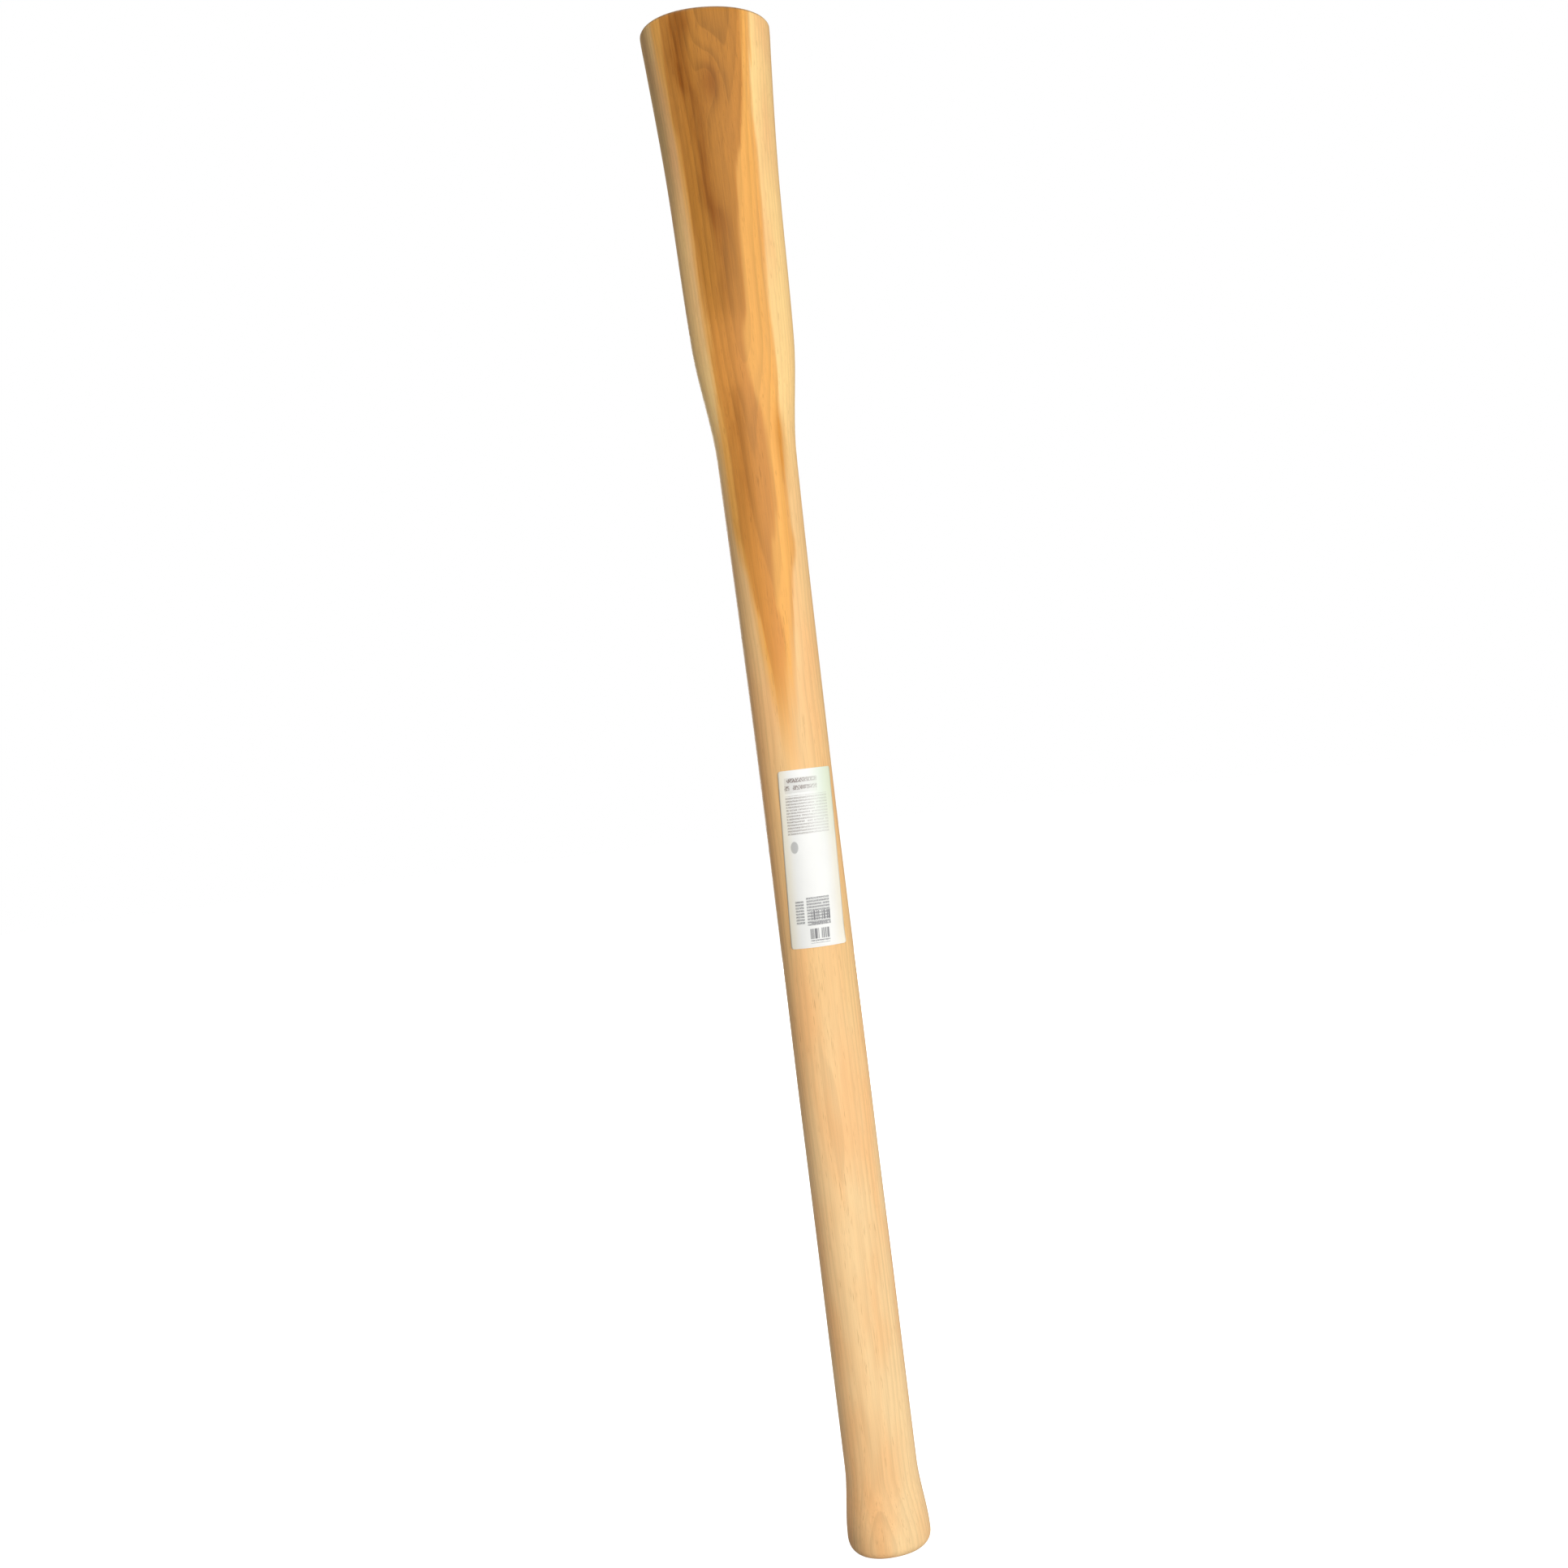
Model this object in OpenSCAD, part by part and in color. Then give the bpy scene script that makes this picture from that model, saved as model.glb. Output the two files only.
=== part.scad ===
// Slip-on handle for a heavy striking tool: one piece of hardwood with a paper label stuck to it.
// The handle stands upright. Its foot rests on z = 0, its eye end points up, the broad way of its
// oval section lies along X and the thin way along Y. Millimetres.

/* [Length] */
// Overall length, from foot to eye end
handle_l = 914; // [880:1:960]

/* [Eye end] */
// Height of the flared eye end, down to its shoulder
eye_h = 188; // [170:1:200]
// Broad width at the top of the eye end
eye_w = 78.4; // [76:0.2:84]
// Thin width at the top of the eye end
eye_t = 54; // [50:0.5:58]
// Broad width half way down the eye end
eye_middle_w = 67.4; // [66:0.2:74]
// Thin width half way down the eye end
eye_middle_t = 46.5; // [44:0.5:50]
// Bevel sanded round the sawn end
eye_bevel = 1.2; // [0.5:0.1:3]

/* [Shoulder and throat] */
// Broad width at the shoulder, where the eye end stops
shoulder_w = 62.2; // [60:0.2:65]
// Thin width at the shoulder
shoulder_t = 42; // [39:0.5:44]
// Length of the curve between shoulder and throat
throat_l = 71; // [60:1:85]
// Broad width at the throat, where the swell of the grip ends
throat_w = 47.8; // [46:0.2:52]
// Thin width at the throat
throat_t = 37; // [35:0.5:40]

/* [Grip] */
// Height at which the even part of the grip starts to swell towards the throat
grip_h = 430; // [400:1:500]
// Broad width of the grip, where the hands work
grip_w = 43.6; // [40:0.2:45]
// Thin width of the grip
grip_t = 34; // [31:0.5:36]

/* [Knob] */
// Height at which the knob has run out into the grip
knob_h = 48; // [40:1:60]
// Broad width of the knob, which stops the lower hand
knob_w = 50; // [48:0.2:56]
// Thin width of the knob
knob_t = 41; // [38:0.5:46]
// Radius of the rounding under the knob
knob_r = 6.5; // [4:0.5:8]

/* [Section] */
// Exponent of the oval at the eye end: 2 is a plain ellipse, more is squarer
eye_square = 2.1; // [2:0.05:2.6]
// Exponent of the oval along the grip and knob
grip_square = 2.2; // [2:0.05:2.6]

/* [Label] */
// Height of the lower edge of the label above the foot
label_z = 362.5; // [320:0.5:370]
// Length of the label along the handle
label_l = 105; // [80:1:110]
// Thickness of the label with its adhesive
label_t = 0.2; // [0.1:0.05:0.3]
// First corner of the section that the label covers, counted round from +X
label_first = 31; // [28:1:34]
// Last corner of the section that the label covers
label_last = 43; // [40:1:46]

/* [Hidden] */

// Corners of each section
SIDES = 48;

// How far the blank runs past each end face before it is sawn to length
SPARE = 2;

throat_z = handle_l - eye_h - throat_l;
shoulder_z = handle_l - eye_h;
label_top = label_z + label_l;

// Each station is [height, broad width, thin width, exponent of the oval], from the foot up.
// Between stations the sections follow a smooth curve that never overshoots them.
STATIONS = [
    [0, knob_w, knob_t, grip_square],
    [knob_r, knob_w, knob_t, grip_square],
    [knob_h, grip_w, grip_t, grip_square],
    [grip_h, grip_w, grip_t, grip_square],
    [throat_z, throat_w, throat_t, grip_square],
    [shoulder_z, shoulder_w, shoulder_t, eye_square],
    [handle_l - eye_h / 2, eye_middle_w, eye_middle_t, eye_square],
    [handle_l, eye_w, eye_t, eye_square]
];

// Columns of a station after its height
BROAD = 1;
THIN = 2;
SQUARE = 3;

// The last station that is not above height z, leaving one for the curve to end on
function below(z, i = 0) =
    i == len(STATIONS) - 2 || z < STATIONS[i + 1][0] ? i : below(z, i + 1);

// Rise of a column per millimetre, from station i to the next
function rise(column, i) =
    (STATIONS[i + 1][column] - STATIONS[i][column]) / (STATIONS[i + 1][0] - STATIONS[i][0]);

// Slope of a column at station i: the harmonic mean of the rises beside it, or 0 where it turns
function slope(column, i) =
    i == 0 ? rise(column, i)
    : i == len(STATIONS) - 1 ? rise(column, i - 1)
    : rise(column, i - 1) * rise(column, i) <= 0 ? 0
    : 2 / (1 / rise(column, i - 1) + 1 / rise(column, i));

// A column's value at height z, on the cubic between the stations on either side
function value_at(column, z) =
    let (
        i = below(z),
        span = STATIONS[i + 1][0] - STATIONS[i][0],
        t = (z - STATIONS[i][0]) / span,
        from_below = STATIONS[i][column] * (1 + 2 * t) + slope(column, i) * span * t,
        from_above = STATIONS[i + 1][column] * (3 - 2 * t) + slope(column, i + 1) * span * (t - 1)
    )
    from_below * pow(1 - t, 2) + from_above * pow(t, 2);

// How far the rounding under the knob, or the bevel at the eye end, draws the surface in
function inset_at(z) =
    z < knob_r ? knob_r - sqrt(pow(knob_r, 2) - pow(knob_r - z, 2))
    : max(0, z - handle_l + eye_bevel);

// One coordinate of the oval, from its half width there and the cosine or sine of the corner's angle
function oval(half, turn, square) = half * sign(turn) * pow(abs(turn), 2 / square);

// Corner k of the section at height z, moved outwards by extra
function corner(k, z, extra = 0) =
    let (
        level = min(max(z, 0), handle_l),
        square = value_at(SQUARE, level),
        outset = extra - inset_at(level)
    )
    [
        oval(value_at(BROAD, level) / 2 + outset, cos(360 * k / SIDES), square),
        oval(value_at(THIN, level) / 2 + outset, sin(360 * k / SIDES), square),
        z
    ];

// Heights in equal steps, from low up to but not including high
function steps(low, high, count) = [for (i = [0 : count - 1]) low + (high - low) * i / count];

// Heights of the sections: close together where the outline bends, far apart where it runs straight
LABEL_LEVELS = concat(steps(label_z, label_top, 4), [label_top]);
LEVELS = concat(
    [-SPARE],
    [for (a = [0 : 18 : 72]) knob_r * (1 - cos(a))],
    steps(knob_r, knob_h, 9),
    steps(knob_h, label_z, 9),
    LABEL_LEVELS,
    steps(label_top + 25, throat_z, 7),
    steps(throat_z, shoulder_z, 11),
    steps(shoulder_z, handle_l - eye_bevel, 12),
    [handle_l - eye_bevel, handle_l, handle_l + SPARE]
);

// A closed skin over rings of points, which are all as long and run anticlockwise from above.
// floor_faces close the lowest ring, and the same faces, turned over, close the highest.
module loft(rings, floor_faces) {
    size = len(rings[0]);
    top = size * (len(rings) - 1);
    walls = [
        for (row = [0 : len(rings) - 2])
            for (k = [0 : size - 1])
                let (a = row * size + k, b = row * size + (k + 1) % size)
                    each [[a, a + size, b + size], [a, b + size, b]]
    ];
    ceiling_faces = [for (face = floor_faces) [for (i = [len(face) - 1 : -1 : 0]) top + face[i]]];
    polyhedron([for (ring = rings) each ring], concat(walls, floor_faces, ceiling_faces));
}

// The handle before it is sawn to length
module blank() {
    rings = [for (z = LEVELS) [for (k = [0 : SIDES - 1]) corner(k, z)]];
    loft(rings, [[for (k = [0 : SIDES - 1]) k]]);
}

// The whole wooden handle, with a flat foot and a flat eye end
module handle() {
    color("burlywood")
        intersection() {
            blank();
            translate([-eye_w, -eye_w, 0])
                cube([2 * eye_w, 2 * eye_w, handle_l]);
        }
}

// The paper label, a thin curved sheet that lies on the handle's own facets.
// Each of its rings runs along the outer face and back along the inner one.
module label() {
    across = [label_first : label_last];
    back = [label_last : -1 : label_first];
    count = label_last - label_first + 1;
    rings = [
        for (z = LABEL_LEVELS)
            concat([for (k = across) corner(k, z, label_t)], [for (k = back) corner(k, z)])
    ];
    lower_edge = [for (i = [0 : count - 2]) [i, i + 1, 2 * count - 2 - i, 2 * count - 1 - i]];
    color("white")
        loft(rings, lower_edge);
}

handle();
label();
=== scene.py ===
"""Looks for a slip-on striking tool handle: lacquered hardwood with a paper label, on a white stage.

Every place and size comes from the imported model. Meshes are in metres. Shaders work in millimetres.
"""

import bisect
import math

import bpy
from mathutils import Matrix, Vector, noise


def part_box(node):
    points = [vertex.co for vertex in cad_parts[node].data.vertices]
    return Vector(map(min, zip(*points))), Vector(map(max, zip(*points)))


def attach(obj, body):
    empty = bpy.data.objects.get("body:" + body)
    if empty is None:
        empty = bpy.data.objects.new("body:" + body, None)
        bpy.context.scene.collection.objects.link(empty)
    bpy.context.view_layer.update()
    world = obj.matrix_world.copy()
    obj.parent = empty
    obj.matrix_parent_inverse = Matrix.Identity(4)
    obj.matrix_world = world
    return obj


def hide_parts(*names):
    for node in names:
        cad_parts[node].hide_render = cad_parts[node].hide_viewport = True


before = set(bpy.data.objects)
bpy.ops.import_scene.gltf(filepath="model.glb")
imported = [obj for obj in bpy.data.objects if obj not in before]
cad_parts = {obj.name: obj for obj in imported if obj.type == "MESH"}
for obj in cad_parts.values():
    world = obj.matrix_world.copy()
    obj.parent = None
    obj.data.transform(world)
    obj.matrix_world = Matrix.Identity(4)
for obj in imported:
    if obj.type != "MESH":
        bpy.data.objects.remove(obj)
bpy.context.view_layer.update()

MM = 0.001
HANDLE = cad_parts["handle"]
LABEL_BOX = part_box("label")
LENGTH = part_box("handle")[1].z

# Camera: where it stands round the handle and how it is turned
CAMERA_AZIMUTH = math.radians(-7)
CAMERA_DISTANCE = 0.77
CAMERA_HEIGHT = 0.46
CAMERA_ROLL = math.radians(7.02)
# How far the middle of the picture lies to the right of the handle's axis
CAMERA_ASIDE = -0.0078
# Width of the picture at the handle's axis
PICTURE_WIDTH = 0.9427
SENSOR_WIDTH = 36
CLIP_START = 0.01
CLIP_END = 100

# Lights, as (name, azimuth in degrees, distance, height, width, tall, power in watts)
SOFTBOXES = (
    ("key_light", 18, 2.4, 0.8, 2.0, 1.5, 51),
    ("back_light", 180, 2.4, 0.8, 1.8, 1.5, 33),
    ("top_light", 0, 0.0, 2.6, 1.2, 1.2, 15),
)
# How much of the background's white lights the handle
WORLD_LIGHT = 0.25
WHITE = (1, 1, 1, 1)
FLOOR_GREY = (0.6, 0.6, 0.6, 1)
FLOOR_RADIUS = 12
FLOOR_SIDES = 96

# Handle mesh: digits of a height in metres that tell the CAD model's sections apart, and the finer
# mesh's corners in a section, steps between sections, and steps in towards the middle of an end face
HEIGHT_DIGITS = 6
HANDLE_SIDES = 160
RING_STEP = 3 * MM
CAP_STEPS = (0.012, 0.03, 0.1, 0.25, 0.5, 0.75)
# How far sanding leaves the wood from its true shape, and the size of its waves
UNEVEN = 0.2 * MM
UNEVEN_ACROSS = 32 * MM
UNEVEN_ALONG = 110 * MM
UNEVEN_FADE = 12 * MM

# Label mesh
LABEL_COLUMNS = 44
LABEL_ROWS = 120
FRONT_SAMPLES = 720
LABEL_THICK = 0.14 * MM
LABEL_CORNER = 1.6 * MM
# Clearance that keeps the paper out of the uneven wood
LABEL_GAP = 0.16 * MM
# How far the paper ripples, and how far its free corner lifts
LABEL_RIPPLE = 0.07 * MM
LABEL_LIFT = 0.8 * MM
# Size of the ripples across and down the label
RIPPLE_ACROSS = 6 * MM
RIPPLE_DOWN = 11 * MM
# How far across the label the lift reaches, and what share of its reach up the label that is
LIFT_REACH = 9 * MM
LIFT_SHARE = 0.7
# How far each millimetre down the label leads to the left, as it was stuck on askew, and how far down
# it lies true
LABEL_SKEW = 0.048
LABEL_TRUE = 0.33
# Turns, in degrees, of the extra rows through a rounded corner
CORNER_TURNS = range(0, 90, 15)
# Length on the label that one unit of the print's map stands for
PRINT_SCALE = 100 * MM


# ---------------------------------------------------------------------------- surface of the handle


def read_sections(node):
    """The CAD handle's sections from the foot up: height, half widths along X and Y, and squareness."""
    rings = {}
    for vertex in node.data.vertices:
        rings.setdefault(round(vertex.co.z, HEIGHT_DIGITS), []).append(vertex.co)
    sections = []
    for height in sorted(rings):
        broad = max(abs(point.x) for point in rings[height])
        thin = max(abs(point.y) for point in rings[height])
        corner = max(min(abs(point.x) / broad, abs(point.y) / thin) for point in rings[height])
        # On the corner where x / broad equals y / thin, both are 2 ** (-1 / squareness)
        squareness = -1 / math.log2(corner)
        sections.append((height, broad, thin, squareness))
    return sections


def travel_to(sections):
    """Distance along the outline from the foot to each section."""
    travel = [0.0]
    for low, high in zip(sections, sections[1:]):
        travel.append(travel[-1] + math.hypot(high[0] - low[0], high[1] - low[1]))
    return travel


SECTIONS = read_sections(HANDLE)
TRAVEL = travel_to(SECTIONS)


def rise(column, i):
    """Change of a section's column per metre of travel, from section i to the next."""
    return (SECTIONS[i + 1][column] - SECTIONS[i][column]) / (TRAVEL[i + 1] - TRAVEL[i])


def slope(column, i):
    """Slope of a column at section i: the harmonic mean of the rises beside it, or 0 where it turns."""
    if i == 0:
        return rise(column, 0)
    if i == len(SECTIONS) - 1:
        return rise(column, i - 1)
    before, after = rise(column, i - 1), rise(column, i)
    if before * after <= 0:
        return 0.0
    return 2 / (1 / before + 1 / after)


def section_at(travel):
    """The handle's section at a distance along its outline, on a smooth curve through the CAD ones."""
    i = min(max(bisect.bisect_right(TRAVEL, travel) - 1, 0), len(TRAVEL) - 2)
    span = TRAVEL[i + 1] - TRAVEL[i]
    t = (travel - TRAVEL[i]) / span
    section = []
    for column in range(len(SECTIONS[i])):
        from_below = SECTIONS[i][column] * (1 + 2 * t) + slope(column, i) * span * t
        from_above = SECTIONS[i + 1][column] * (3 - 2 * t) + slope(column, i + 1) * span * (t - 1)
        section.append(from_below * (1 - t) ** 2 + from_above * t**2)
    return section


def section_at_height(height):
    """The handle's section at a height, for the stretches where travel and height run together."""
    heights = [section[0] for section in SECTIONS]
    i = min(max(bisect.bisect_right(heights, height) - 1, 0), len(heights) - 2)
    share = (height - heights[i]) / (heights[i + 1] - heights[i])
    return section_at(TRAVEL[i] + share * (TRAVEL[i + 1] - TRAVEL[i]))


def oval_point(section, angle, outset=0.0):
    """A point on a section, moved outwards by outset."""
    height, broad, thin, square = section
    across = math.copysign(abs(math.cos(angle)) ** (2 / square), math.cos(angle))
    deep = math.copysign(abs(math.sin(angle)) ** (2 / square), math.sin(angle))
    return Vector(((broad + outset) * across, (thin + outset) * deep, height))


def unevenness(point):
    """How far sanding left the wood proud or shy of its true shape. The end faces stay true."""
    sample = (point.x / UNEVEN_ACROSS, point.y / UNEVEN_ACROSS, point.z / UNEVEN_ALONG)
    fade = min(1.0, point.z / UNEVEN_FADE, (LENGTH - point.z) / UNEVEN_FADE)
    return UNEVEN * max(0.0, fade) * noise.noise(Vector(sample))


# ---------------------------------------------------------------------------------------- meshes


def add_mesh(name, points, faces, uvs=None):
    """A smooth mesh object. uvs gives a point of the print for each mesh point."""
    mesh = bpy.data.meshes.new(name)
    mesh.from_pydata(points, [], faces)
    if uvs:
        layer = mesh.uv_layers.new(name="print")
        for loop in mesh.loops:
            layer.data[loop.index].uv = uvs[loop.vertex_index]
    mesh.shade_smooth()
    mesh.update()
    piece = bpy.data.objects.new(name, mesh)
    bpy.context.scene.collection.objects.link(piece)
    return piece


def band(lower, upper, count):
    """Faces between two rings of count points, whose first points are numbers lower and upper."""
    return [
        (lower + k, lower + (k + 1) % count, upper + (k + 1) % count, upper + k)
        for k in range(count)
    ]


def handle_rings():
    """Rings of points from the middle of the foot, up the side, to the middle of the eye end."""
    angles = [2 * math.pi * k / HANDLE_SIDES for k in range(HANDLE_SIDES)]
    side = []
    for i in range(len(TRAVEL) - 1):
        count = max(2, math.ceil((TRAVEL[i + 1] - TRAVEL[i]) / RING_STEP))
        side += [TRAVEL[i] + (TRAVEL[i + 1] - TRAVEL[i]) * step / count for step in range(count)]
    side.append(TRAVEL[-1])
    rings = []
    for travel in side:
        section = section_at(travel)
        true_ring = [oval_point(section, angle) for angle in angles]
        rings.append(
            [oval_point(section, angle, unevenness(true)) for angle, true in zip(angles, true_ring)]
        )
    foot, top = rings[0], rings[-1]
    foot_cap = [shrunk(foot, step) for step in reversed(CAP_STEPS)]
    top_cap = [shrunk(top, step) for step in CAP_STEPS]
    return foot_cap + rings + top_cap


def shrunk(ring, share):
    """A ring drawn in towards the handle's axis by a share of its size."""
    return [Vector((point.x * (1 - share), point.y * (1 - share), point.z)) for point in ring]


def make_handle():
    """The wooden handle, finer and smoother than the CAD solid that it replaces."""
    rings = handle_rings()
    points = [point for ring in rings for point in ring]
    faces = []
    for i in range(len(rings) - 1):
        faces += band(i * HANDLE_SIDES, (i + 1) * HANDLE_SIDES, HANDLE_SIDES)
    foot_middle, top_middle = len(points), len(points) + 1
    points += [Vector((0, 0, rings[0][0].z)), Vector((0, 0, rings[-1][0].z))]
    top = (len(rings) - 1) * HANDLE_SIDES
    for k in range(HANDLE_SIDES):
        after = (k + 1) % HANDLE_SIDES
        faces.append((foot_middle, after, k))
        faces.append((top_middle, top + k, top + after))
    handle = add_mesh("hardwood_handle", points, faces)
    handle.data.materials.append(hardwood())
    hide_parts("handle")
    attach(handle, "root")


def front_paper(section):
    """Angles round the front of a section, how far each is along the paper from the label's left edge,
    and the label's width."""
    angles = [math.pi * (1 + k / FRONT_SAMPLES) for k in range(FRONT_SAMPLES + 1)]
    points = [oval_point(section, angle, LABEL_THICK) for angle in angles]
    lengths = [0.0]
    for before, after in zip(points, points[1:]):
        lengths.append(lengths[-1] + (after - before).length)
    left, right = LABEL_BOX[0].x, LABEL_BOX[1].x
    covered = [along for along, point in zip(lengths, points) if left <= point.x <= right]
    return angles, [along - covered[0] for along in lengths], covered[-1] - covered[0]


def label_rows():
    """Distances down the label from its top edge, with extra rows through the rounded corners."""
    height = LABEL_BOX[1].z - LABEL_BOX[0].z
    corner = [LABEL_CORNER * (1 - math.cos(math.radians(turn))) for turn in CORNER_TURNS]
    middle_height = height - 2 * LABEL_CORNER
    middle = [LABEL_CORNER + middle_height * k / LABEL_ROWS for k in range(LABEL_ROWS + 1)]
    return corner + middle + [height - down for down in reversed(corner)]


def corner_inset(down, height):
    """How far a rounded corner draws the label's side edge in, on the row that far down."""
    past = LABEL_CORNER - min(down, height - down)
    if past <= 0:
        return 0.0
    return LABEL_CORNER - math.sqrt(max(0.0, LABEL_CORNER**2 - past**2))


def paper_lift(across, down, width, height):
    """How far the paper stands off the wood: a faint ripple, and a lower right corner that peels."""
    ripple = LABEL_RIPPLE * noise.noise(Vector((across / RIPPLE_ACROSS, down / RIPPLE_DOWN, 0)))
    from_corner = math.hypot(width - across, (height - down) * LIFT_SHARE)
    peel = max(0.0, 1 - from_corner / LIFT_REACH)
    return LABEL_GAP + max(0.0, ripple) + LABEL_LIFT * peel**2


def label_sheet(section, outset):
    """One face of the label, as points in rows from the top edge down, and their places in the print."""
    angles, lengths, width = front_paper(section)
    height = LABEL_BOX[1].z - LABEL_BOX[0].z
    points, uvs = [], []
    for down in label_rows():
        row_section = section_at_height(LABEL_BOX[1].z - down)
        inset = corner_inset(down, height)
        askew = LABEL_SKEW * (height * LABEL_TRUE - down)
        for column in range(LABEL_COLUMNS + 1):
            across = inset + (width - 2 * inset) * column / LABEL_COLUMNS
            i = bisect.bisect_right(lengths, across + askew) - 1
            share = (across + askew - lengths[i]) / (lengths[i + 1] - lengths[i])
            angle = angles[i] + share * (angles[i + 1] - angles[i])
            lift = paper_lift(across, down, width, height)
            points.append(oval_point(row_section, angle, outset + lift))
            uvs.append((across / PRINT_SCALE, down / PRINT_SCALE))
    return points, uvs


def sheet_rim(rows, columns):
    """The numbers of the points round a sheet: the top edge, the right, the bottom and the left."""
    top = list(range(columns))
    right = [row * columns + columns - 1 for row in range(1, rows)]
    bottom = [(rows - 1) * columns + column for column in range(columns - 2, -1, -1)]
    left = [row * columns for row in range(rows - 2, 0, -1)]
    return top + right + bottom + left


def make_label():
    """The paper label: a thin sheet with rounded corners, wrapped on the grip."""
    middle_section = section_at_height((LABEL_BOX[0].z + LABEL_BOX[1].z) / 2)
    outer, uvs = label_sheet(middle_section, LABEL_THICK)
    inner, _ = label_sheet(middle_section, 0.0)
    columns, count = LABEL_COLUMNS + 1, len(outer)
    rows = count // columns
    faces = []
    for row in range(rows - 1):
        for column in range(LABEL_COLUMNS):
            a = row * columns + column
            b = a + columns
            faces.append((a, b, b + 1, a + 1))
            faces.append((count + a, count + a + 1, count + b + 1, count + b))
    rim = sheet_rim(rows, columns)
    for a, b in zip(rim, rim[1:] + rim[:1]):
        faces.append((a, b, count + b, count + a))
    label = add_mesh("paper_label", outer + inner, faces, uvs + uvs)
    label.data.materials.append(label_paper())
    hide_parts("label")
    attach(label, "root")


# --------------------------------------------------------------------------------- shader helpers


class Field:
    """A number that varies over a surface. Arithmetic on it adds the math nodes that work it out."""

    def __init__(self, shader, socket):
        self.shader = shader
        self.socket = socket

    def maths(self, operation, *others):
        """The result of a math node on this and the others."""
        return self.shader.maths(operation, self, *others)

    def __add__(self, other):
        return self.maths("ADD", other)

    def __mul__(self, other):
        return self.maths("MULTIPLY", other)

    def __sub__(self, other):
        return self.maths("SUBTRACT", other)

    def __rsub__(self, other):
        return self.shader.maths("SUBTRACT", other, self)

    def __truediv__(self, other):
        return self.maths("DIVIDE", other)

    __radd__ = __add__
    __rmul__ = __mul__

    def step(self, low, high):
        """0 where this is at low, 1 where it is at high, and smooth between. low may be the larger."""
        inputs = {"Value": self, "From Min": low, "From Max": high}
        node = self.shader.add("ShaderNodeMapRange", inputs, interpolation_type="SMOOTHSTEP")
        return Field(self.shader, node.outputs[0])

    def bell(self, centre, half):
        """1 where this is at centre, falling smoothly to nearly 0 two halves away."""
        away = (self - centre) / half
        return self.shader.maths("EXPONENT", away * away * -1)


class Shader:
    """A material's nodes, with short ways to add to them."""

    def __init__(self, name):
        self.material = bpy.data.materials.new(name)
        self.material.use_nodes = True
        self.tree = self.material.node_tree
        self.tree.nodes.clear()

    def add(self, kind, inputs, **settings):
        """A node with these settings, whose inputs, by name or number, are values, sockets or fields."""
        node = self.tree.nodes.new(kind)
        for name, value in settings.items():
            setattr(node, name, value)
        for name, value in inputs.items():
            if isinstance(value, Field):
                value = value.socket
            if isinstance(value, bpy.types.NodeSocket):
                self.tree.links.new(value, node.inputs[name])
            else:
                node.inputs[name].default_value = value
        return node

    def maths(self, operation, *values):
        """The result of a math node on these values or fields."""
        node = self.add("ShaderNodeMath", dict(enumerate(values)), operation=operation)
        return Field(self, node.outputs[0])

    def split(self, vector):
        """The three numbers of a vector, as fields."""
        node = self.add("ShaderNodeSeparateXYZ", {0: vector})
        return [Field(self, socket) for socket in node.outputs]

    def place(self):
        """Where the surface is, in millimetres of the object's own frame."""
        coordinates = self.add("ShaderNodeTexCoord", {})
        return [part / MM for part in self.split(coordinates.outputs["Object"])]

    def noise(self, x, y, z, detail=2, roughness=0.5):
        """Smooth noise with one wave for each unit of x, y and z, mostly from -1 to 1."""
        point = self.add("ShaderNodeCombineXYZ", {0: x, 1: y, 2: z}).outputs[0]
        inputs = {"Vector": point, "Scale": 1.0, "Detail": detail, "Roughness": roughness}
        return Field(self, self.add("ShaderNodeTexNoise", inputs).outputs[0]) * 2 - 1

    def waves(self, x, y, z, lengths, detail=2, roughness=0.5):
        """Noise whose waves have these lengths along x, y and z."""
        return self.noise(x / lengths[0], y / lengths[1], z / lengths[2], detail, roughness)

    def chance(self, number):
        """A number from 0 to 1 that differs for each whole number."""
        node = self.add("ShaderNodeTexWhiteNoise", {"W": number}, noise_dimensions="1D")
        return Field(self, node.outputs["Value"])

    def along(self, height, stations):
        """A value that follows a smooth curve through stations, which are (height, value) pairs."""
        values = [value for _, value in stations]
        low, high = min(values), max(values)
        node = self.add("ShaderNodeFloatCurve", {"Value": height / (LENGTH / MM)})
        curve = node.mapping.curves[0]
        places = [(at / (LENGTH / MM), (value - low) / (high - low)) for at, value in stations]
        curve.points[0].location = places[0]
        curve.points[1].location = places[-1]
        for place in places[1:-1]:
            curve.points.new(*place)
        for point in curve.points:
            point.handle_type = "AUTO_CLAMPED"
        node.mapping.extend = "HORIZONTAL"
        node.mapping.update()
        return Field(self, node.outputs[0]) * (high - low) + low

    def mix(self, share, colour, other):
        """colour, replaced by the other as share goes from 0 to 1."""
        inputs = {0: share, 6: colour, 7: other}
        node = self.add("ShaderNodeMix", inputs, data_type="RGBA")
        return node.outputs[2]

    def brighten(self, colour, factor):
        """colour times a field."""
        node = self.add("ShaderNodeVectorMath", {0: colour, "Scale": factor}, operation="SCALE")
        return node.outputs[0]

    def bump(self, height, depth):
        """A surface normal for a height of 0 to 1 that stands for depth metres."""
        return self.add("ShaderNodeBump", {"Height": height, "Distance": depth}).outputs[0]

    def finish(self, surface):
        """Makes this node the material's surface and gives the material."""
        output = self.add("ShaderNodeOutputMaterial", {})
        self.tree.links.new(surface.outputs[0], output.inputs["Surface"])
        return self.material


# ------------------------------------------------------------------------------------------ wood

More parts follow.
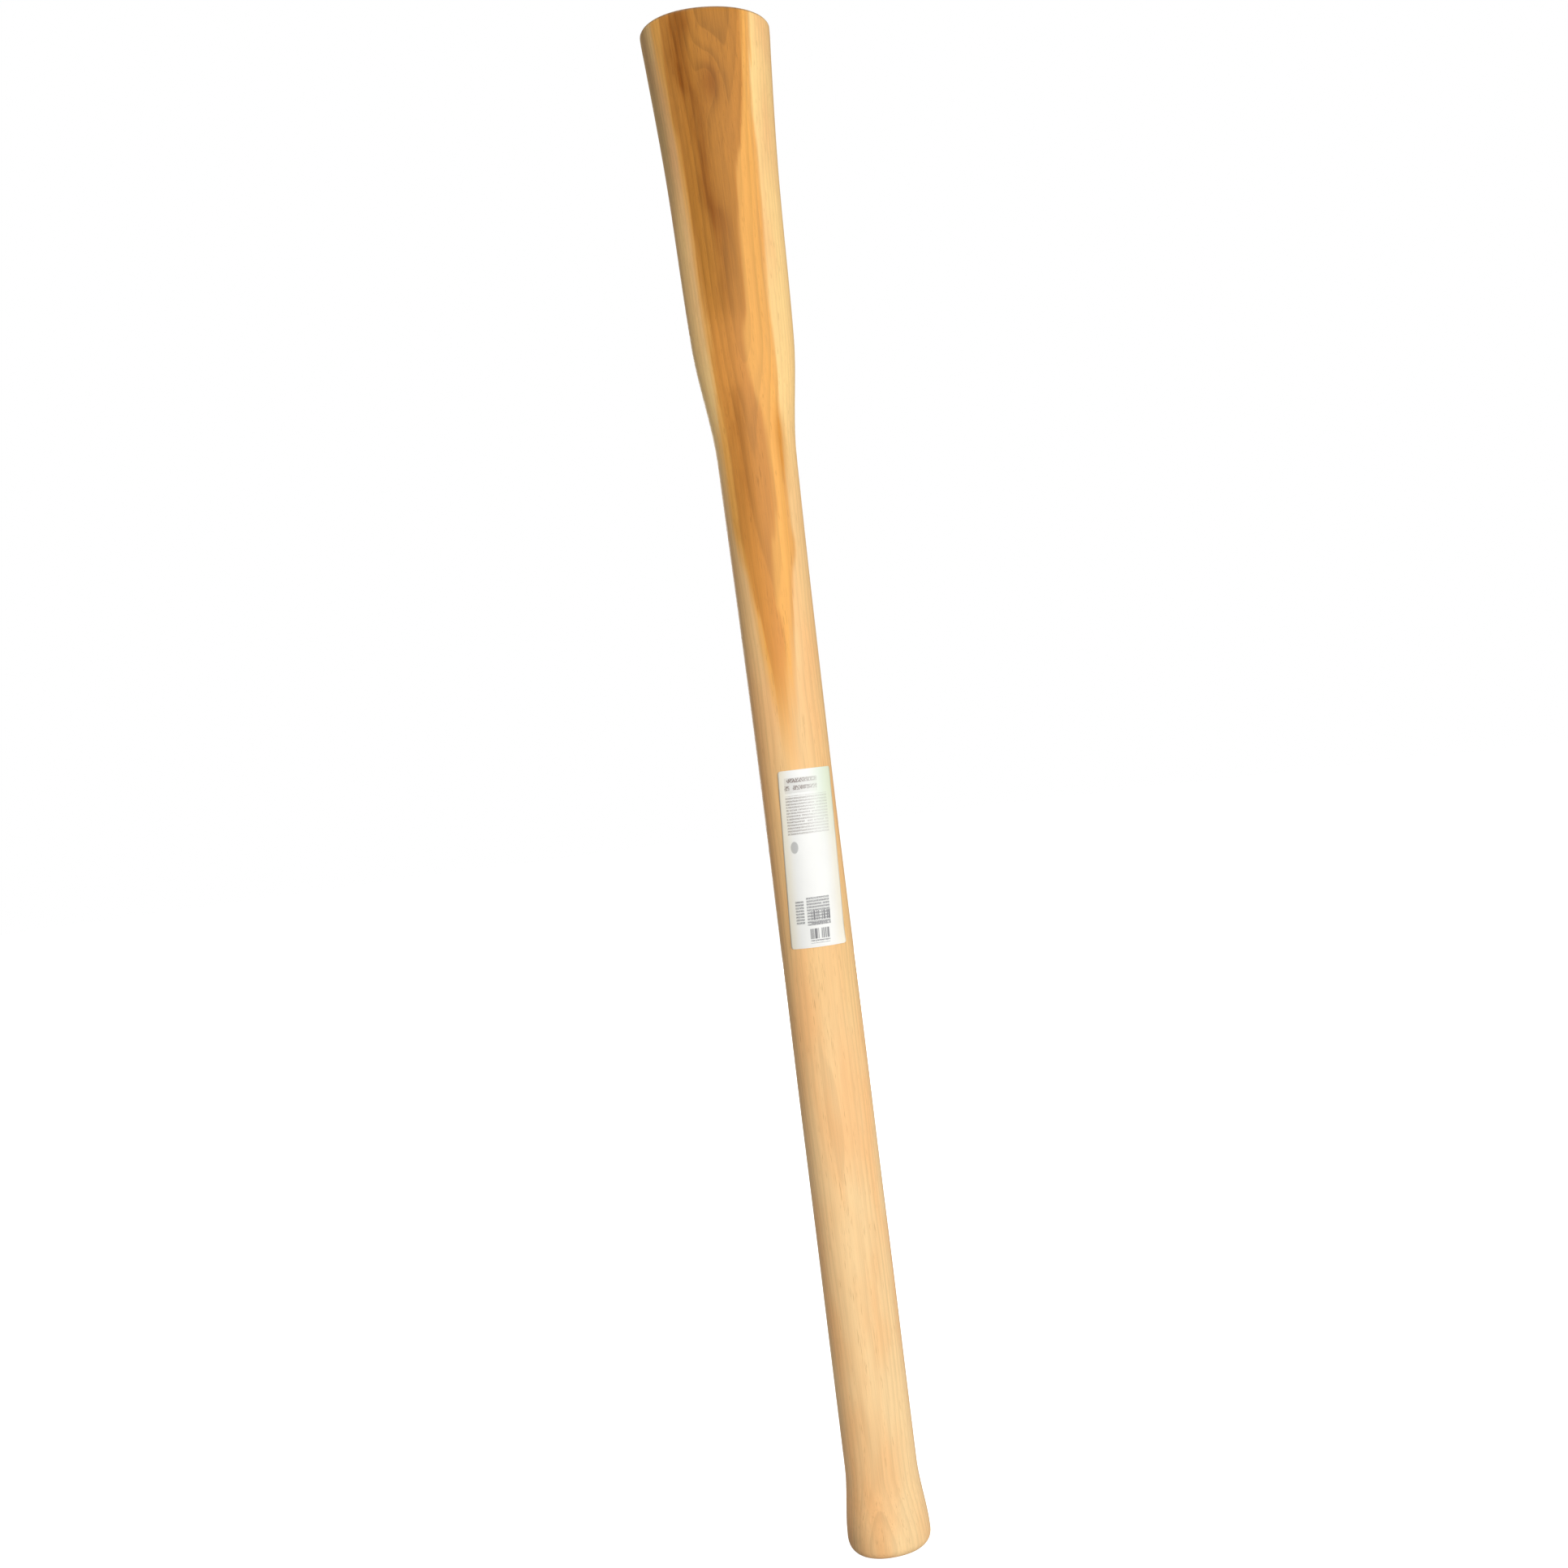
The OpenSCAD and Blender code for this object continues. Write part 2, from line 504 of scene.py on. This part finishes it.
# Colours of the wood, as linear red, green, blue and alpha
SAPWOOD = (0.87, 0.56, 0.25, 1)
PALE_SAPWOOD = (0.93, 0.65, 0.33, 1)
YELLOW_SAPWOOD = (0.95, 0.64, 0.265, 1)
WARM_SAPWOOD = (0.91, 0.51, 0.215, 1)
GOLDEN = (0.83, 0.40, 0.088, 1)
GOLDEN_LINE = (0.66, 0.27, 0.04, 1)
AMBER = (0.70, 0.285, 0.058, 1)
HEARTWOOD = (0.50, 0.205, 0.030, 1)
DARK_STREAK = (0.29, 0.088, 0.006, 1)
PORE = (0.28, 0.11, 0.02, 1)
END_GRAIN = (0.62, 0.37, 0.15, 1)

# Lengths of the waves in the wood, along x, y and z, in millimetres
RING_BENDS = (70, 70, 300)
RING_WOBBLES = (11, 11, 95)
CLOUDS = (22, 22, 120)
WARM_CLOUDS = (17, 17, 75)
PATCHES = (9, 9, 38)
STREAKS = (2.4, 2.4, 130)
STRANDS = (1.7, 1.7, 70)
FIBRES = (0.55, 0.55, 34)
PORES = (0.42, 0.42, 9)
# How far along their axis these waves are read, so that no two patterns are the same
RING_BENDS_SHIFT = 630
WARM_CLOUDS_SHIFT = 51

# The pith, which lies in front of the handle: its place at the foot, and how it leans with height
PITH_X = -12
PITH_Y = -74
PITH_LEAN = 0.012
# Width of a growth ring, and how far out its bends and wobbles and the knot push it
RING_WIDTH = 2.3
RING_BEND_DEPTH = 7
RING_WOBBLE_DEPTH = 1.1
KNOT_DEPTH = 4

# The sawn ends: the size of a pore, the width, length and slant of a ray, the size of a cloud, and
# the waves of the saw marks along x, y and z
END_PORE = 0.5
END_RAY = (0.6, 12)
END_RAY_SLANT = 0.06
END_CLOUD = 9
SAW_MARK = (18, 0.8, 40)
# Depth of the relief of pores and saw marks
WOOD_RELIEF = 0.06 * MM

# Where looks are strongest, as (middle, half the width along that axis). The knot, its dark eye and a
# fleck to its left:
KNOT_X = (-3.5, 8)
KNOT_Z = (871, 20)
EYE_X = (-3.5, 6)
EYE_Z = (871, 12)
FLECK_X = (-15, 3)
FLECK_Z = (905, 7)
# The golden line, the stretch with few warm clouds, the left side of the throat, lightened by painted
# light, and the left side of the eye end, darkened by painted shade:
LINE_X = (13, 3.5)
COOL_Z = (690, 60)
THROAT_SIDE_LIGHT_Z = (668, 42)
EYE_SIDE_SHADE_Y = (-8, 6)

# How far the front face lies from the axis, and how deep the coloured wood goes in behind it
FRONT_FACE = 24
COLUMN_DEPTH = 30

# Where a look sets in, as (none of it, all of it). First how far inside its column of wood:
GOLDEN_INSIDE = (-1.5, 3.5)
AMBER_INSIDE = (-1, 1.8)
HEART_INSIDE = (-1.5, 2.5)
FAINT_RIGHT_INSIDE = (10, 1)
# Then how far through a growth ring the early wood ends, and the late wood starts and ends:
EARLY_ENDS = (0.55, 0.2)
LATE_STARTS = (0.35, 0.9)
LATE_ENDS = (1.0, 0.93)
# Then along z, up the handle:
PALE_Z = (360, 240)
YELLOW_Z = (600, 700)
GOLDEN_Z = (440, 540)
AMBER_Z = (490, 540)
FAINT_RIGHT_Z = (810, 850)
FAINT_LEFT_Z = (800, 840)
# The next three: painted shade on the left of the eye end, on the foot's left and round the foot's edge
EYE_SIDE_SHADE_Z = (780, 860)
FOOT_SIDE_SHADE_Z = (32, 3)
FOOT_EDGE_SHADE_Z = (7, 0)
LINE_TOP_Z = (690, 665)
LINE_FOOT_Z = (622, 665)
# The eye end's rim: end-grain colour, darkened there by painted shade
RIM_GRAIN_AND_SHADE_Z = (LENGTH / MM - 2, LENGTH / MM - 0.9)
# Then along x:
WARM_X = (4, -16)
GOLDEN_EDGE_X = (0, 8)
FAINT_RIGHT_X = (-8, 4)
FAINT_LEFT_X = (-17, -25)
# The next three: painted shade on the left of the eye end, painted light on the left of the throat, and
# painted shade on the foot's left
EYE_SIDE_SHADE_X = (0, -10)
THROAT_SIDE_LIGHT_X = (-8, -22)
FOOT_SIDE_SHADE_X = (-8, -24)
# And along y, from the back to the front:
FRONT_Y = (-4, -14)
KNOT_Y = (0, -18)
LINE_Y = (0, -6)

# The columns of coloured wood in the front face, as (height, the middle in x) and (height, half the
# width). The brown heartwood, with its amber edge, has a share of it that is brown at each height.
HEART_MIDDLE = [
    (490, -4), (540, -4.7), (555, -5.6), (570, -7.8), (600, -8.3), (615, -7.8), (630, -6.8),
    (675, -7.9), (690, -9.4), (705, -11), (720, -11.7), (740, -10.6), (780, -11.3), (800, -10.9),
    (820, -10.2), (840, -8.7), (860, -7.8), (880, -7.3), (914, -5.9),
]
HEART_HALF = [
    (490, 2), (540, 5.6), (570, 7.4), (600, 10.4), (615, 13.2), (645, 13.7), (675, 13.6),
    (705, 11.6), (720, 11.3), (740, 13.5), (780, 14.7), (800, 15.7), (820, 17.1), (840, 19.9),
    (860, 23.1), (914, 26.1),
]
HEART_SHARE = [
    (530, 0), (580, 0.3), (600, 0.35), (640, 0.42), (680, 0.4), (700, 0.3), (720, 0.35),
    (745, 0.8), (800, 1), (914, 1),
]
# The golden wood round it
GOLDEN_MIDDLE = [
    (430, -4), (500, -4.2), (540, -4.5), (580, -4), (610, -6), (650, -6.7), (700, -5.4),
    (820, -6), (860, -7.5), (914, -8),
]
GOLDEN_HALF = [
    (430, 0.5), (500, 7.3), (540, 11.5), (580, 16.9), (610, 22.7), (650, 24), (700, 22.7),
    (780, 25), (860, 28.5), (914, 33.5),
]
# The dark streak in it
STREAK_MIDDLE = [
    (590, -10), (650, -10.5), (690, -10), (750, -9), (775, -6.5), (800, -10.3), (820, -13.2),
    (840, -13.5), (865, -16), (890, -19.5), (914, -18.5),
]
STREAK_HALF = [(590, 3), (650, 3.5), (740, 3.5), (790, 4), (820, 3.6), (865, 4.2), (914, 4)]
STREAK_SHARE = [
    (590, 0), (620, 0.25), (640, 0.5), (690, 0.4), (705, 0.05), (725, 0.05), (745, 0.35),
    (775, 0.4), (795, 0.75), (830, 0.8), (880, 0.9), (914, 0.85),
]


class Wood:
    """The handle's wood: where its surface is, in millimetres, and the patterns that its looks share."""

    def __init__(self, shader):
        self.shader = shader
        self.x, self.y, self.z = shader.place()
        self.clouds = self.waves(CLOUDS)
        self.patches = self.waves(PATCHES)
        self.streaks = self.waves(STREAKS, detail=3)
        self.strands = self.waves(STRANDS, detail=3, roughness=0.6)
        self.fibres = self.waves(FIBRES, detail=3, roughness=0.6)

        rings = self.growth_rings()
        ring = shader.maths("FLOOR", rings)
        self.ring_tone = shader.chance(ring) - 0.5
        self.through_ring = rings - ring
        self.latewood = self.through_ring.step(*LATE_STARTS) * self.through_ring.step(*LATE_ENDS)

        self.golden = self.into_column(GOLDEN_MIDDLE, GOLDEN_HALF).step(*GOLDEN_INSIDE)
        self.golden = self.golden * self.z.step(*GOLDEN_Z)
        self.inside_heart = self.into_column(HEART_MIDDLE, HEART_HALF)
        self.heart = self.heart_share()

    def waves(self, lengths, detail=2, roughness=0.5):
        """Smooth noise through the wood, mostly from -1 to 1."""
        return self.shader.waves(self.x, self.y, self.z, lengths, detail, roughness)

    def growth_rings(self):
        """How many rings out from the pith the surface is."""
        bend_x = self.waves(RING_BENDS)
        bend_y = self.shader.waves(self.y + RING_BENDS_SHIFT, self.x, self.z, RING_BENDS)
        wobble = self.waves(RING_WOBBLES) * RING_WOBBLE_DEPTH
        knot = self.x.bell(*KNOT_X) * self.z.bell(*KNOT_Z) * self.y.step(*KNOT_Y)
        from_x = self.x + bend_x * RING_BEND_DEPTH - PITH_X - self.z * PITH_LEAN
        from_y = self.y + bend_y * RING_BEND_DEPTH - PITH_Y
        distance = self.shader.maths("SQRT", from_x * from_x + from_y * from_y)
        return (distance + wobble + knot * KNOT_DEPTH) / RING_WIDTH

    def into_column(self, middle, half):
        """About how many millimetres inside a column of wood in the front face the surface is. The edge
        strays, because each ring and fibre takes up the colour a little differently."""
        half_width = self.shader.along(self.z, half)
        off_middle = (self.x - self.shader.along(self.z, middle)) / half_width
        depth = (self.y + FRONT_FACE) / COLUMN_DEPTH
        even = (1 - off_middle * off_middle - depth) * half_width * 0.5
        fine_stray = self.ring_tone * 2 + self.streaks * 2.2 + self.fibres * 0.7
        wide_stray = self.clouds * 1.8 + self.patches
        return even + fine_stray + wide_stray

    def heart_share(self):
        """How brown the wood is. It is fainter by its right edge and on the left of the eye end."""
        right = self.x.step(*FAINT_RIGHT_X) * self.z.step(*FAINT_RIGHT_Z)
        right = right * self.inside_heart.step(*FAINT_RIGHT_INSIDE)
        left = self.x.step(*FAINT_LEFT_X) * self.z.step(*FAINT_LEFT_Z)
        fainter = (1 - right * 0.3) * (1 - left * 0.35)
        return self.inside_heart.step(*HEART_INSIDE) * fainter * self.shader.along(self.z, HEART_SHARE)

    def dark_streak(self):
        """The long dark streak in the heartwood."""
        stray = self.patches * 3 + self.strands * 1.5
        off_middle = self.x - self.shader.along(self.z, STREAK_MIDDLE) + stray
        edge = off_middle / self.shader.along(self.z, STREAK_HALF) * 0.8
        streak = self.shader.maths("EXPONENT", edge * edge * -1)
        mottle = 0.9 + self.strands * 0.8 + self.patches * 0.6
        return streak * self.shader.along(self.z, STREAK_SHARE) * self.y.step(*FRONT_Y) * mottle

    def dark_spots(self):
        """The dark eye of the knot and a fleck to its left."""
        eye = (self.x + self.patches * 2).bell(*EYE_X) * (self.z + self.strands * 3).bell(*EYE_Z)
        fleck = (self.x + self.patches).bell(*FLECK_X) * (self.z + self.strands * 2).bell(*FLECK_Z)
        return (eye + fleck * 0.8) * self.y.step(*FRONT_Y)

    def golden_lines(self):
        """Darker lines in the golden wood: one at its right edge and one at the throat."""
        edge = self.golden * (1 - self.golden) * self.x.step(*GOLDEN_EDGE_X)
        line = self.x.bell(*LINE_X) * self.y.step(*LINE_Y)
        line = line * self.z.step(*LINE_TOP_Z) * self.z.step(*LINE_FOOT_Z)
        return edge * 2 + line * 0.75

    def sapwood_colour(self):
        """Pale wood: whiter low down, yellower high up, and warmer in clouds and to the left."""
        mix = self.shader.mix
        clouds = self.shader.waves(self.x + WARM_CLOUDS_SHIFT, self.y, self.z, WARM_CLOUDS)
        warm = clouds.step(-0.35, 0.45) + self.x.step(*WARM_X) * 0.4
        colour = mix(self.z.step(*PALE_Z), SAPWOOD, PALE_SAPWOOD)
        colour = mix(self.z.step(*YELLOW_Z), colour, YELLOW_SAPWOOD)
        return mix(warm * (0.75 - self.z.bell(*COOL_Z) * 0.6), colour, WARM_SAPWOOD)

    def side_colour(self):
        """The sapwood, with the golden, amber, brown and dark wood over it."""
        mix = self.shader.mix
        amber = self.inside_heart.step(*AMBER_INSIDE) * self.z.step(*AMBER_Z)
        colour = mix(self.golden, self.sapwood_colour(), GOLDEN)
        colour = mix(self.golden_lines(), colour, GOLDEN_LINE)
        colour = mix(amber * 0.9, colour, AMBER)
        colour = mix(self.heart, colour, HEARTWOOD)
        colour = mix(self.dark_streak(), colour, DARK_STREAK)
        return mix(self.dark_spots() * 0.75, colour, DARK_STREAK)

    def grain_tone(self):
        """How much the grain lightens or darkens the wood. It shows most in the heartwood."""
        contrast = 0.5 + self.golden * 0.15 + self.heart * 0.35
        coarse = self.latewood * -0.16 + self.ring_tone * 0.16 + self.streaks * 0.14
        fine = self.fibres * (0.13 + self.heart * 0.1) + self.strands * self.heart * 0.12
        return coarse * contrast + fine + self.clouds * 0.06

    def painted_light_and_shade(self):
        """Painted light and shade in the colour: lighter on the left of the throat, and darker on the
        left of the eye end and round the foot's edge, most of all on its left."""
        # Painted shade on the left of the eye end
        eye_side_painted_shade = self.x.step(*EYE_SIDE_SHADE_X) * self.y.bell(*EYE_SIDE_SHADE_Y) * self.z.step(*EYE_SIDE_SHADE_Z)
        # Painted light on the left of the throat
        throat_side_painted_light = self.x.step(*THROAT_SIDE_LIGHT_X) * self.z.bell(*THROAT_SIDE_LIGHT_Z)
        # Painted shade on the foot's left and round its bottom edge
        foot_side_painted_shade = self.x.step(*FOOT_SIDE_SHADE_X) * self.z.step(*FOOT_SIDE_SHADE_Z)
        foot_edge_painted_shade = self.z.step(*FOOT_EDGE_SHADE_Z)
        return throat_side_painted_light * 0.15 - eye_side_painted_shade * 0.3 - foot_side_painted_shade * 0.26 - foot_edge_painted_shade * 0.1

    def pores(self):
        """Short dark pores, in the part of each ring that grew first."""
        return self.waves(PORES, detail=1).step(0.22, 0.42) * self.through_ring.step(*EARLY_ENDS)

    def end_face(self):
        """1 on the sawn end faces and 0 along the sides."""
        normal = self.shader.add("ShaderNodeTexCoord", {}).outputs["Normal"]
        return self.shader.maths("ABSOLUTE", self.shader.split(normal)[2]).step(0.75, 0.98)

    def end_colour(self):
        """The sawn ends: darker than the sides, with pores as dots between the latewood arcs."""
        shader = self.shader
        cells = shader.add("ShaderNodeCombineXYZ", {0: self.x / END_PORE, 1: self.y / END_PORE})
        dots = shader.add("ShaderNodeTexVoronoi", {"Vector": cells.outputs[0], "Scale": 1.0})
        pores = Field(shader, dots.outputs["Distance"]).step(0.45, 0.15) * (1 - self.latewood)
        rays = shader.noise((self.x + self.y * END_RAY_SLANT) / END_RAY[0], self.y / END_RAY[1], 0)
        mottle = shader.noise(self.x / END_CLOUD, self.y / END_CLOUD, 0, detail=3)
        colour = shader.mix(self.heart * 0.75, END_GRAIN, HEARTWOOD)
        tone = 1 - self.latewood * 0.28 - pores * 0.22 + rays * 0.12 + mottle * 0.12
        return shader.brighten(colour, tone)

    def saw_marks(self):
        """Ridges that the saw left across the end faces."""
        return self.shader.noise(self.x / SAW_MARK[0] + self.y / SAW_MARK[1], 0, self.z / SAW_MARK[2])


def hardwood():
    """Pale sapwood with a brown heartwood streak, sanded and clear lacquered."""
    shader = Shader("hardwood_finish")
    wood = Wood(shader)
    pores = wood.pores()
    # The grain's tone and the painted light and shade scale the wood's colour
    colour = shader.brighten(wood.side_colour(), 1 + wood.grain_tone() + wood.painted_light_and_shade())
    colour = shader.mix(pores * (0.3 + wood.heart * 0.2), colour, PORE)

    end_face = wood.end_face()
    # The rim of the eye end takes the end-grain colour; where it is no end face, painted shade darkens
    # it by up to 40 %
    rim = wood.z.step(*RIM_GRAIN_AND_SHADE_Z) * 0.8
    show_end = shader.maths("MAXIMUM", end_face, rim)
    colour = shader.mix(show_end, colour, wood.end_colour())
    colour = shader.brighten(colour, 1 - rim * (1 - end_face) * 0.5)

    side_relief = 0.5 + wood.fibres * 0.18 - pores * 0.5 - wood.latewood * 0.1
    relief = side_relief + wood.saw_marks() * end_face * 0.7
    inputs = {
        "Base Color": colour,
        "Roughness": 0.52 + wood.fibres * 0.08 + end_face * 0.2,
        "Specular IOR Level": 0.22,
        "Normal": shader.bump(relief, WOOD_RELIEF),
        "Coat Weight": 0.04,
        "Coat Roughness": 0.3,
    }
    return shader.finish(shader.add("ShaderNodeBsdfPrincipled", inputs))


# ----------------------------------------------------------------------------------------- paper

# Colours of the paper and its print, as linear red, green, blue and alpha
PAPER = (0.84, 0.84, 0.81, 1)
CREAM = (0.87, 0.80, 0.62, 1)
GREEN_TINT = (0.60, 0.80, 0.50, 1)
INK = (0.10, 0.10, 0.11, 1)
WARM_INK = (0.17, 0.12, 0.10, 1)

# Blocks of print, as (left, right, top, bottom) in millimetres from the label's upper left corner
HEADING = (3.5, 23, 4.5, 13.5)
SMALL_PRINT = (3.5, 29, 15, 38)
SIDE_TEXT = (4.7, 9.7, 77, 91)
NOTICE = (11.3, 25, 75.5, 92)
BAR_CODES = ((13.5, 25, 83.5, 89), (12.5, 24, 94, 100))
# The round mark's middle and half size, across and then down
MARK_ACROSS = (6.8, 2.4)
MARK_DOWN = (45.5, 3.8)
# How soft the edge of a block is
BLOCK_EDGE = 0.12
# Spacing of the rows of print in the heading, elsewhere and under the bar codes
HEADING_PITCH = 4.3
TEXT_PITCH = 1.75
CODE_TEXT_PITCH = 2
# Length of a word, and width and height of a speck in it, in rows
WORD = 0.9
SPECK = (0.17, 0.22)
# How far one row's words are shifted from the next, and how much they differ
ROW_SHIFT = 7.3
ROW_CHANGE = 3.1
# A bar code's bars, the gap between its two groups, and the row of specks below it
BAR_WAVE = 0.42
BAR_GAP = 1.4
UNDER_TOP = 0.6
UNDER_BOTTOM = 2.6
# Where the paper turns cream towards its sides, and where the print fades to the right
CREAM_LEFT = (8, 0)
CREAM_RIGHT = (24, 36)
FADE_ACROSS = (9, 24)
TINT_ACROSS = (15, 30)
TINT_DOWN = (52, 8)
# The size of a stain across and down, the size of a paper fibre, and the depth of the relief
STAIN = (9, 14)
PAPER_FIBRE = 0.25
PAPER_FIBRE_SLICE = 3
PAPER_RELIEF = 0.03 * MM


class Print:
    """The label's face: how far across and down it the surface is, in millimetres."""

    def __init__(self, shader):
        self.shader = shader
        place = shader.add("ShaderNodeUVMap", {}, uv_map="print").outputs[0]
        self.across, self.down, _ = [part * (PRINT_SCALE / MM) for part in shader.split(place)]

    def block(self, area):
        """1 inside a rectangle and 0 outside it."""
        left, right, top, bottom = area
        sideways = self.across.step(left - BLOCK_EDGE, left + BLOCK_EDGE)
        sideways = sideways * self.across.step(right + BLOCK_EDGE, right - BLOCK_EDGE)
        upright = self.down.step(top - BLOCK_EDGE, top + BLOCK_EDGE)
        return sideways * upright * self.down.step(bottom + BLOCK_EDGE, bottom - BLOCK_EDGE)

    def text_rows(self, pitch):
        """Rows of specks that stand for print, with no letters in them."""
        row = self.shader.maths("FLOOR", self.down / pitch)
        in_row = self.down / pitch - row
        along_row = self.across / (pitch * WORD) + row * ROW_SHIFT
        words = self.shader.noise(along_row, row * ROW_CHANGE, 0, detail=1).step(0.42, 0.32)
        speck_x, speck_y = self.across / (pitch * SPECK[0]), self.down / (pitch * SPECK[1])
        specks = self.shader.noise(speck_x, speck_y, row, detail=0).step(-0.3, 0.0)
        return in_row.step(0.1, 0.18) * in_row.step(0.76, 0.68) * words * specks

    def text_block(self, area, pitch, grey, ink):
        """A block of print: an even grey, with rows of specks in it."""
        return self.block(area) * (grey + self.text_rows(pitch) * ink)

    def bar_code(self, area):
        """Two groups of bars of uneven width, which encode nothing, over a row of specks."""
        left, right, top, bottom = area
        bars = self.shader.noise(self.across / BAR_WAVE, top, 0, detail=0).step(-0.1, 0.0)
        middle = (left + right) / 2
        gap = self.block((middle - BAR_GAP / 2, middle + BAR_GAP / 2, top, bottom))
        under = self.block((left, right, bottom + UNDER_TOP, bottom + UNDER_BOTTOM))
        specks = under * self.text_rows(CODE_TEXT_PITCH)
        return self.block(area) * bars * (1 - gap) + specks

    def upper_ink(self):
        """The heading and the small print below it, which fade to the right."""
        heading = self.text_block(HEADING, HEADING_PITCH, 0.2, 0.75)
        small = self.text_block(SMALL_PRINT, TEXT_PITCH, 0.06, 0.7)
        fade = 1 - self.across.step(*FADE_ACROSS) * 0.6
        return self.shader.maths("MAXIMUM", heading, small) * fade

    def lower_ink(self):
        """The round mark, the side text, the notice and the two bar codes."""
        parts = [
            self.text_block(SIDE_TEXT, TEXT_PITCH, 0.1, 0.8),
            self.text_block(NOTICE, TEXT_PITCH, 0.22, 0.7),
            *[self.bar_code(area) for area in BAR_CODES],
        ]
        ink = (self.across.bell(*MARK_ACROSS) * self.down.bell(*MARK_DOWN)).step(0.36, 0.5) * 0.5
        for part in parts:
            ink = self.shader.maths("MAXIMUM", ink, part)
        return ink

    def paper_colour(self):
        """White paper, cream at both sides and faintly green at the upper right."""
        sides = self.across.step(*CREAM_LEFT) * 0.8 + self.across.step(*CREAM_RIGHT) * 0.8
        tint = self.across.step(*TINT_ACROSS) * self.down.step(*TINT_DOWN)
        colour = self.shader.mix(sides, PAPER, CREAM)
        return self.shader.mix(tint * 0.4, colour, GREEN_TINT)


def label_paper():
    """White semi-gloss paper with grey print."""
    shader = Shader("label_paper_finish")
    face = Print(shader)
    stain = shader.noise(face.across / STAIN[0], face.down / STAIN[1], 0)
    fibre = shader.noise(face.across / PAPER_FIBRE, face.down / PAPER_FIBRE, PAPER_FIBRE_SLICE)
    ink = face.lower_ink()
    colour = shader.brighten(face.paper_colour(), 1 + stain * 0.03 + fibre * 0.02)
    colour = shader.mix(face.upper_ink() * 0.9, colour, WARM_INK)
    colour = shader.mix(ink * 0.9, colour, INK)
    inputs = {
        "Base Color": colour,
        "Roughness": 0.42 + fibre * 0.05 - ink * 0.08,
        "Normal": shader.bump(0.5 + fibre * 0.3 + stain * 0.3, PAPER_RELIEF),
    }
    return shader.finish(shader.add("ShaderNodeBsdfPrincipled", inputs))


# ------------------------------------------------------------------------------- camera and stage


def make_camera():
    """The camera, level and turned on its own axis so that the handle leans in the picture."""
    sideways = Vector((math.cos(CAMERA_AZIMUTH), math.sin(CAMERA_AZIMUTH), 0))
    back = Vector((math.sin(CAMERA_AZIMUTH), -math.cos(CAMERA_AZIMUTH), 0))
    upright = Vector((0, 0, 1))
    right = math.cos(CAMERA_ROLL) * sideways - math.sin(CAMERA_ROLL) * upright
    up = math.sin(CAMERA_ROLL) * sideways + math.cos(CAMERA_ROLL) * upright
    place = back * CAMERA_DISTANCE + sideways * CAMERA_ASIDE + upright * CAMERA_HEIGHT
    data = bpy.data.cameras.new("camera")
    data.sensor_width = SENSOR_WIDTH
    data.lens = SENSOR_WIDTH * CAMERA_DISTANCE / PICTURE_WIDTH
    data.clip_start = CLIP_START
    data.clip_end = CLIP_END
    camera = bpy.data.objects.new("camera", data)
    turn = Matrix((right, up, back)).transposed().to_4x4()
    camera.matrix_world = Matrix.Translation(place) @ turn
    bpy.context.scene.collection.objects.link(camera)
    bpy.context.scene.camera = camera


def add_softbox(name, azimuth, distance, height, width, tall, power):
    """A large soft light on one side of the handle, turned to the foot so that it lights the handle
    evenly. Azimuth 0 is towards -Y."""
    data = bpy.data.lights.new(name, "AREA")
    data.shape = "RECTANGLE"
    data.size = width
    data.size_y = tall
    data.energy = power
    light = bpy.data.objects.new(name, data)
    turn = math.radians(azimuth)
    light.location = (distance * math.sin(turn), -distance * math.cos(turn), height)
    aim = Vector((0, 0, 0)) - light.location
    light.rotation_euler = aim.to_track_quat("-Z", "Y").to_euler()
    light.visible_camera = False
    bpy.context.scene.collection.objects.link(light)


def make_lights():
    """A key light to the right of the camera, a weaker one from behind and one overhead."""
    for softbox in SOFTBOXES:
        add_softbox(*softbox)


def make_world():
    """A white background that lights the handle only dimly."""
    world = bpy.data.worlds.new("studio")
    bpy.context.scene.world = world
    world.use_nodes = True
    tree = world.node_tree
    tree.nodes.clear()
    path = tree.nodes.new("ShaderNodeLightPath")
    seen = tree.nodes.new("ShaderNodeMapRange")
    seen.inputs["To Min"].default_value = WORLD_LIGHT
    seen.inputs["To Max"].default_value = 1.0
    background = tree.nodes.new("ShaderNodeBackground")
    background.inputs["Color"].default_value = WHITE
    output = tree.nodes.new("ShaderNodeOutputWorld")
    tree.links.new(path.outputs["Is Camera Ray"], seen.inputs["Value"])
    tree.links.new(seen.outputs[0], background.inputs["Strength"])
    tree.links.new(background.outputs[0], output.inputs["Surface"])


def floor_finish():
    """Pale matt floor that glows white as the camera sees it, so that no horizon or shadow shows."""
    shader = Shader("floor_finish")
    path = shader.add("ShaderNodeLightPath", {})
    matt = shader.add("ShaderNodeBsdfDiffuse", {"Color": FLOOR_GREY}).outputs[0]
    glow = shader.add("ShaderNodeEmission", {"Strength": path.outputs["Is Camera Ray"]}).outputs[0]
    return shader.finish(shader.add("ShaderNodeAddShader", {0: matt, 1: glow}))


def make_floor():
    """A large round floor that the handle stands on."""
    corners = [2 * math.pi * k / FLOOR_SIDES for k in range(FLOOR_SIDES)]
    points = [(FLOOR_RADIUS * math.cos(a), FLOOR_RADIUS * math.sin(a), 0) for a in corners]
    floor = add_mesh("floor", points, [tuple(range(FLOOR_SIDES))])
    floor.data.materials.append(floor_finish())


bpy.context.scene.view_settings.view_transform = "Standard"
make_camera()
make_world()
make_lights()
make_floor()
make_handle()
make_label()
